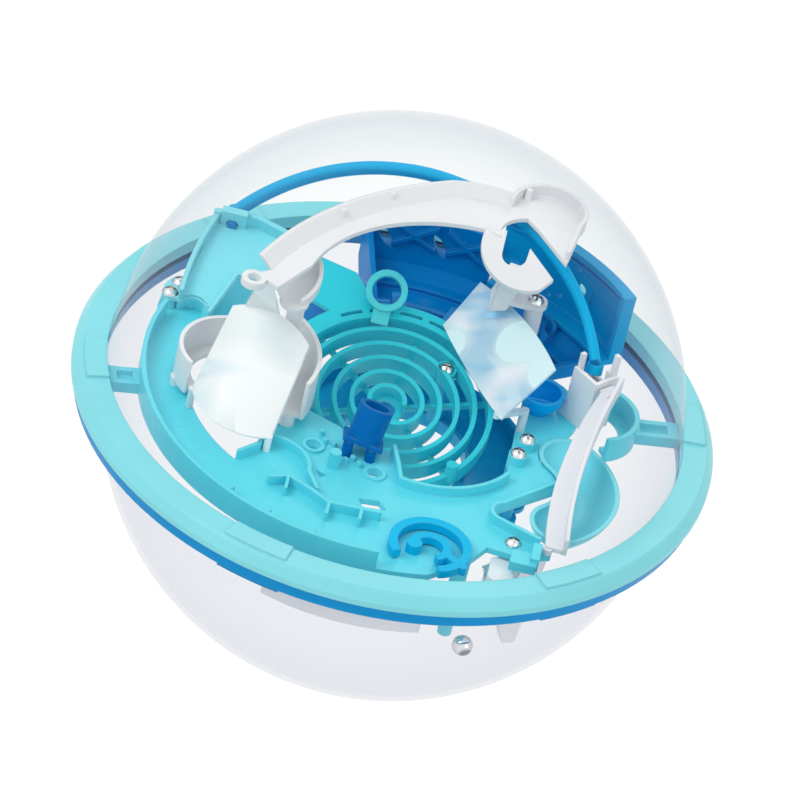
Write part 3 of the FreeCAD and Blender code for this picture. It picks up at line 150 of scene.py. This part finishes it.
def material_graph(name):
    return Graph(bpy.data.materials.new(name), "ShaderNodeOutputMaterial")


def paint(node, material):
    mesh = NODES[node].data
    mesh.materials.clear()
    mesh.materials.append(material)


# ---------------------------------------------------------------- moulded plastic

PLASTIC_IOR = 1.49
FLOW_SCALE = 26.0
MOTTLE = 0.03  # how much darker or lighter the flow marks make the colour
ROUGHNESS_SCALE = 90.0
SMOOTHER, ROUGHER = 0.05, 0.07  # how far patches of the surface fall below and rise above its roughness
GRAIN_SCALE = 900.0
GRAIN_STRENGTH = 0.02
GRAIN_DEPTH = 0.0006
EDGE_RADIUS = 0.0005
EDGE_SAMPLES = 6
EDGE_HIGHLIGHT_PALENESS = 0.45  # how far the painted edge highlight goes towards white
EDGE_HIGHLIGHT_SHARE = 0.3  # the most of the painted edge highlight that an edge takes
ON_EDGE, OFF_EDGE = 0.70, 0.99  # cosine between the softened and the true normal, over which the painted edge highlight fades out


def moulded(name, rgb, rough, gloss):
    """Moulded plastic: faint flow mottling, fine mould grain, softened edges and a painted highlight along
    the edges that makes them paler.
    """
    g = material_graph(name)
    colour = linear(*rgb)
    coords = g.coords()
    bevel = g.add("ShaderNodeBevel", samples=EDGE_SAMPLES)
    bevel.inputs["Radius"].default_value = EDGE_RADIUS
    turned = g.add("ShaderNodeVectorMath", operation="DOT_PRODUCT")
    g.link(bevel.outputs["Normal"], turned.inputs[0])
    g.link(g.add("ShaderNodeNewGeometry").outputs["True Normal"], turned.inputs[1])
    flow = g.remap(g.noise(FLOW_SCALE, 3.0, coords), 0.0, 1.0)
    tint = g.mix_colour(flow, scaled(colour, 1 - MOTTLE), scaled(colour, 1 + MOTTLE))
    # painted highlight: the colour turns paler along the edges, where the softened normal leans away from the
    # true one
    edge = g.remap(turned.outputs["Value"], EDGE_HIGHLIGHT_SHARE, 0.0, ON_EDGE, OFF_EDGE)
    tint = g.mix_colour(edge, tint, paler(colour, EDGE_HIGHLIGHT_PALENESS))
    bump = g.add("ShaderNodeBump")
    bump.inputs["Strength"].default_value = GRAIN_STRENGTH
    bump.inputs["Distance"].default_value = GRAIN_DEPTH
    g.link(g.noise(GRAIN_SCALE, 2.0, coords), bump.inputs["Height"])
    g.link(bevel.outputs["Normal"], bump.inputs["Normal"])
    roughness = g.remap(g.noise(ROUGHNESS_SCALE, 2.0, coords), rough - SMOOTHER, rough + ROUGHER)
    shader = g.add("ShaderNodeBsdfPrincipled")
    shader.inputs["IOR"].default_value = PLASTIC_IOR
    shader.inputs["Specular IOR Level"].default_value = gloss
    g.link(tint, shader.inputs["Base Color"])
    g.link(roughness, shader.inputs["Roughness"])
    g.link(bump.outputs["Normal"], shader.inputs["Normal"])
    return g.finish(shader.outputs["BSDF"])


PLASTIC_RGB = {
    "upper_rim": (134, 221, 230),
    "lower_rim": (0, 146, 212),
    "main_deck": (98, 222, 238),
    "right_crescent": (108, 222, 238),
    "right_bowl": (124, 224, 238),
    "spiral_vortex": (48, 208, 224),
    "ball_hoop": (86, 220, 230),
    "ramp_chute": (140, 230, 242),
    "vortex_cup": (0, 108, 184),
    "arch_rail": (20, 178, 232),
    "rear_trough": (0, 132, 204),
    "rear_side_plate": (14, 168, 226),
    # catch_bowl is written brighter than its own blue: painted light against the shade it sits in, low in the
    # globe
    "catch_bowl": (0, 178, 252),
    "scroll_hook": (4, 188, 236),
    # lower_tray is also written brighter than its own blue, as painted light against the shade deep in the
    # globe
    "lower_tray": (30, 174, 220),
    "left_scoop": (236, 236, 238),
    "centre_scoop": (234, 234, 236),
    "track_chute": (234, 234, 236),
    "high_track": (234, 234, 237),
    "hook_bracket": (232, 232, 236),
    "bucket": (234, 234, 238),
    "right_rail": (234, 234, 240),
    # lower_lane and front_bracket are the same white as the other white parts, written lighter as painted
    # light against the shade under the rim
    "lower_lane": (248, 248, 250),
    "front_bracket": (248, 248, 250),
    "arch_rail_pin": (24, 140, 204),
}
WHITE_ABOVE = 200  # a colour is white when all its parts lie above this
BLUE_BELOW = 30  # and blue, not turquoise, when its red lies below this
GLOSS = {"white": 0.3, "blue": 0.08, "turquoise": 0.2}  # Specular IOR Level
ROUGHNESS = {"white": 0.42, "blue": 0.32, "turquoise": 0.32}


def plastic_kind(rgb):
    if min(rgb) > WHITE_ABOVE:
        return "white"
    return "blue" if rgb[0] < BLUE_BELOW else "turquoise"


for node, rgb in PLASTIC_RGB.items():
    kind = plastic_kind(rgb)
    paint(node, moulded("plastic_" + node, rgb, ROUGHNESS[kind], GLOSS[kind]))


# ---------------------------------------------------------------- clear half globes

SHELL_IOR = 1.3
SHELL_CLOUD_SCALE = 9.0
SHELL_CLOUD_SHADE = 0.97  # of the haze colour, in its darker clouds
SHELL_HAZE_BAND = (0.25, 1.0)  # turn away from the eye over which the haze grows
CLEAR_BLEND = 0.35  # Layer Weight's blend on everything clear


def clear_shell(name, side, tint_rgb, haze, haze_rgb, rough):
    """Clear half globe: its outer face is hazier where it is seen edge-on, its inner face is bare.

    side is 1 for the upper half and -1 for the lower. haze is its least and its most share.
    """
    g = material_graph(name)
    coords = g.coords()
    pale = linear(*haze_rgb)
    cloud = g.remap(g.noise(SHELL_CLOUD_SCALE, 2.0, coords), 0.0, 1.0)
    skin = g.add("ShaderNodeBsdfPrincipled")
    skin.inputs["Roughness"].default_value = rough
    skin.inputs["IOR"].default_value = SHELL_IOR
    g.link(g.mix_colour(cloud, scaled(pale, SHELL_CLOUD_SHADE), pale), skin.inputs["Base Color"])
    radius = g.add("ShaderNodeVectorMath", operation="DISTANCE")
    radius.inputs[1].default_value = (0.0, 0.0, side * SHELL_LIFT)
    g.link(coords, radius.inputs[0])
    outside = g.calculate("GREATER_THAN", radius.outputs["Value"], SHELL_MIDDLE)
    haze_share = g.remap(g.facing(CLEAR_BLEND), *haze, *SHELL_HAZE_BAND)
    share = g.calculate("MULTIPLY", haze_share, outside)
    return g.finish(g.mix_shader(share, g.see_through(linear(*tint_rgb)), skin.outputs["BSDF"]))


paint(
    "upper_dome",
    clear_shell(
        "clear_upper", 1, tint_rgb=(253, 254, 254), haze=(0.0, 0.46), haze_rgb=(202, 207, 219), rough=0.06
    ),
)
paint(
    "lower_dome",
    clear_shell(
        "clear_lower", -1, tint_rgb=(252, 252, 253), haze=(0.11, 0.38), haze_rgb=(236, 237, 243), rough=0.2
    ),
)


# ---------------------------------------------------------------- printed guards

GUARD_IOR = 1.4
GUARD_ROUGHNESS = 0.18
GUARD_TINT = (0.98, 0.99, 1.0, 1.0)
GUARD_EDGE_BAND = (0.5, 1.0)  # turn away from the eye over which the guard grows solid
WASH_BAND = (0.34, 0.66)  # noise values over which the wash goes from its first colour to its second
STREAK_BAND = (0.54, 0.66)  # noise values over which a streak comes in
STREAK_MOST = 0.8
STREAK_STRETCH = (0.45, 1.0, 1.7)
STREAK_SCALE_UP = 1.3  # over the wash's own scale
PATCH_SMOOTHNESS = 0.35
PATCH_RANDOMNESS = 0.9
PATCH_SOFTNESS = 0.07  # width of a patch's soft edge, as a share of a cell


def printed_guard(name, cover, wash_rgb, streak_rgb, patch_rgb, turn, wash_scale, patch_scale, patch_radius):
    """Clear guard printed with a soft wash of uneven cover, pale rounded patches and a few faint streaks.

    cover is the wash's least and most, wash_rgb its pair of colours, and patch_radius a share of a cell.
    """
    g = material_graph(name)
    thin, thick = cover
    place = g.mapped(g.coords(), Rotation=turn)
    wash = g.remap(g.noise(wash_scale, 1.0, place), 0.0, 1.0, *WASH_BAND)
    stretched = g.mapped(place, Scale=STREAK_STRETCH)
    streak_noise = g.noise(wash_scale * STREAK_SCALE_UP, 1.0, stretched)
    streak = g.remap(streak_noise, 0.0, STREAK_MOST, *STREAK_BAND)
    cells = g.add("ShaderNodeTexVoronoi", feature="SMOOTH_F1", voronoi_dimensions="3D")
    cells.inputs["Scale"].default_value = patch_scale
    cells.inputs["Smoothness"].default_value = PATCH_SMOOTHNESS
    cells.inputs["Randomness"].default_value = PATCH_RANDOMNESS
    g.link(place, cells.inputs["Vector"])
    patch = g.remap(cells.outputs["Distance"], 1.0, 0.0, patch_radius, patch_radius + PATCH_SOFTNESS)

    layers = [
        g.remap(g.facing(CLEAR_BLEND), 0.0, thick, *GUARD_EDGE_BAND),
        g.remap(patch, 0.0, thick, 0.0, 1.0),
        g.remap(streak, 0.0, thick, 0.0, STREAK_MOST),
    ]
    solid = g.remap(wash, thin, thick, 0.0, 1.0)
    for layer in layers:
        solid = g.calculate("MAXIMUM", solid, layer)

    colour = g.mix_colour(wash, linear(*wash_rgb[0]), linear(*wash_rgb[1]))
    colour = g.mix_colour(streak, colour, linear(*streak_rgb))
    colour = g.mix_colour(patch, colour, linear(*patch_rgb))
    skin = g.add("ShaderNodeBsdfPrincipled")
    skin.inputs["Roughness"].default_value = GUARD_ROUGHNESS
    skin.inputs["IOR"].default_value = GUARD_IOR
    g.link(colour, skin.inputs["Base Color"])
    return g.finish(g.mix_shader(solid, g.see_through(GUARD_TINT), skin.outputs["BSDF"]))


paint(
    "left_shield",
    printed_guard(
        "printed_left",
        cover=(0.74, 0.96),
        wash_rgb=((242, 252, 254), (255, 255, 255)),
        streak_rgb=(222, 242, 250),
        patch_rgb=(255, 255, 255),
        turn=(0.3, 0.4, 0.2),
        wash_scale=40.0,
        patch_scale=26.0,
        patch_radius=0.42,
    ),
)
paint(
    "right_shield",
    printed_guard(
        "printed_right",
        cover=(0.66, 0.94),
        wash_rgb=((204, 236, 252), (252, 252, 255)),
        streak_rgb=(150, 214, 246),
        patch_rgb=(226, 252, 255),
        turn=(0.9, 0.2, 0.5),
        wash_scale=52.0,
        patch_scale=40.0,
        patch_radius=0.40,
    ),
)


# ---------------------------------------------------------------- steel

STEEL_BLEND = 0.45
HOLLOW_REACH = 0.0012  # how near walls have to stand for the painted shade that darkens a recess
HOLLOW_SAMPLES = 8
HOLLOW_BAND = (0.35, 0.9)  # open sky over which the painted shade in a recess goes from dark to bright
TURNED_SHADE = 0.35  # painted shade: what is left of the bright grey where the metal is seen edge-on
TURNED_BAND = (0.1, 0.9)
WEAR_SCALE = 400.0
WEAR_LOW, WEAR_HIGH = 0.7, 1.4  # least and most of the roughness


def grey(level, blueness):
    """A linear grey whose blue part is raised a little."""
    return (level, level, level * blueness, 1.0)


def steel(name, rough, bright, dark):
    """Bright metal with painted shade, darker in its recesses and towards its edges; bright and dark are
    linear greys.
    """
    g = material_graph(name)
    # painted shade: the grey goes dark in recesses, from ambient occlusion
    hollow = g.add("ShaderNodeAmbientOcclusion", samples=HOLLOW_SAMPLES)
    hollow.inputs["Distance"].default_value = HOLLOW_REACH
    open_share = g.remap(hollow.outputs["AO"], 0.0, 1.0, *HOLLOW_BAND)
    # painted shade: the grey also goes dark where the metal is seen edge-on
    square_on = g.remap(g.facing(STEEL_BLEND), 1.0, TURNED_SHADE, *TURNED_BAND)
    shade = g.calculate("MULTIPLY", open_share, square_on)
    wear = g.remap(g.noise(WEAR_SCALE, 3.0), rough * WEAR_LOW, rough * WEAR_HIGH)
    shader = g.add("ShaderNodeBsdfPrincipled")
    shader.inputs["Metallic"].default_value = 1.0
    g.link(g.mix_colour(shade, grey(dark, 1.04), grey(bright, 1.01)), shader.inputs["Base Color"])
    g.link(wear, shader.inputs["Roughness"])
    return g.finish(shader.outputs["BSDF"])


paint("marble", steel("polished_steel", rough=0.06, bright=0.86, dark=0.2))
paint("pan_screws", steel("plated_steel", rough=0.22, bright=0.8, dark=0.08))


# ---------------------------------------------------------------- floor and world

FLOOR_Z = -0.42
FLOOR_REACH = 8.0  # from the middle to each side
FLOOR_COLOUR = (0.9, 0.9, 0.91, 1.0)
FLOOR_GLOW = 1.05
FLOOR_GLOW_SHARE = 0.85  # the rest of what the camera sees takes the object's shadow
WORLD_LIGHT_COLOUR = (1.0, 0.99, 0.98, 1.0)
WORLD_LIGHT = 0.69

scene = bpy.context.scene


def white_floor():
    """White ground that glows only for the camera and for reflections, and still takes a shadow."""
    g = material_graph("floor_white")
    diffuse = g.add("ShaderNodeBsdfDiffuse")
    diffuse.inputs["Color"].default_value = FLOOR_COLOUR
    glow = g.add("ShaderNodeEmission")
    glow.inputs["Color"].default_value = WHITE
    glow.inputs["Strength"].default_value = FLOOR_GLOW
    share = g.calculate("MULTIPLY", g.seen_or_mirrored(), FLOOR_GLOW_SHARE)
    return g.finish(g.mix_shader(share, diffuse.outputs["BSDF"], glow.outputs["Emission"]))


def background(g, colour, strength):
    node = g.add("ShaderNodeBackground")
    node.inputs["Color"].default_value = colour
    node.inputs["Strength"].default_value = strength
    return node.outputs["Background"]


floor_corners = [(x * FLOOR_REACH, y * FLOOR_REACH, FLOOR_Z) for x, y in ((-1, -1), (1, -1), (1, 1), (-1, 1))]
floor_mesh = bpy.data.meshes.new("floor")
floor_mesh.from_pydata(floor_corners, [], [(0, 1, 2, 3)])
floor_mesh.materials.append(white_floor())
floor = bpy.data.objects.new("floor", floor_mesh)
scene.collection.objects.link(floor)

studio = Graph(bpy.data.worlds.new("studio"), "ShaderNodeOutputWorld")
lit = background(studio, WORLD_LIGHT_COLOUR, WORLD_LIGHT)
shown = background(studio, WHITE, 1.0)
scene.world = studio.finish(studio.mix_shader(studio.seen_or_mirrored(), lit, shown))


# ---------------------------------------------------------------- lamps

LAMPS = {  # place, diameter and watts; each points at the globe's middle
    "key": ((-0.9, -0.5, 1.3), 0.9, 9.5),
    "fill": ((1.2, -0.9, 0.7), 1.0, 3.5),
    "back": ((0.3, 1.3, 0.9), 0.9, 3.5),
}
for name, (place, diameter, watts) in LAMPS.items():
    lamp_data = bpy.data.lights.new(name, "AREA")
    lamp_data.shape = "DISK"
    lamp_data.size = diameter
    lamp_data.energy = watts
    lamp = bpy.data.objects.new(name, lamp_data)
    lamp.location = place
    lamp.rotation_euler = (-Vector(place)).to_track_quat("-Z", "Y").to_euler()
    scene.collection.objects.link(lamp)


# ---------------------------------------------------------------- camera

ELEVATION = math.radians(36.5)
ROLL = math.radians(13.63)
DISTANCE = 1.9932  # from the globe's middle
SENSOR_MM = 36.0
LENS_MM = 265.797
SHIFT = (0.008375, 0.007)  # as a share of the picture's side

back = Vector((0.0, -math.cos(ELEVATION), math.sin(ELEVATION)))
level_right = Vector((1.0, 0.0, 0.0))
level_up = back.cross(level_right)
right = math.cos(ROLL) * level_right + math.sin(ROLL) * level_up
up = -math.sin(ROLL) * level_right + math.cos(ROLL) * level_up
camera_data = bpy.data.cameras.new("camera")
camera_data.sensor_width = SENSOR_MM
camera_data.lens = LENS_MM
camera_data.shift_x, camera_data.shift_y = SHIFT
camera_data.clip_start = 0.1
camera_data.clip_end = 50.0
camera = bpy.data.objects.new("camera", camera_data)
camera.matrix_world = Matrix.Translation(back * DISTANCE) @ Matrix((right, up, back)).transposed().to_4x4()
scene.collection.objects.link(camera)
scene.camera = camera

scene.view_settings.view_transform = "Standard"
scene.cycles.transparent_max_bounces = 24  # the guards, domes and their far sides lie behind one another
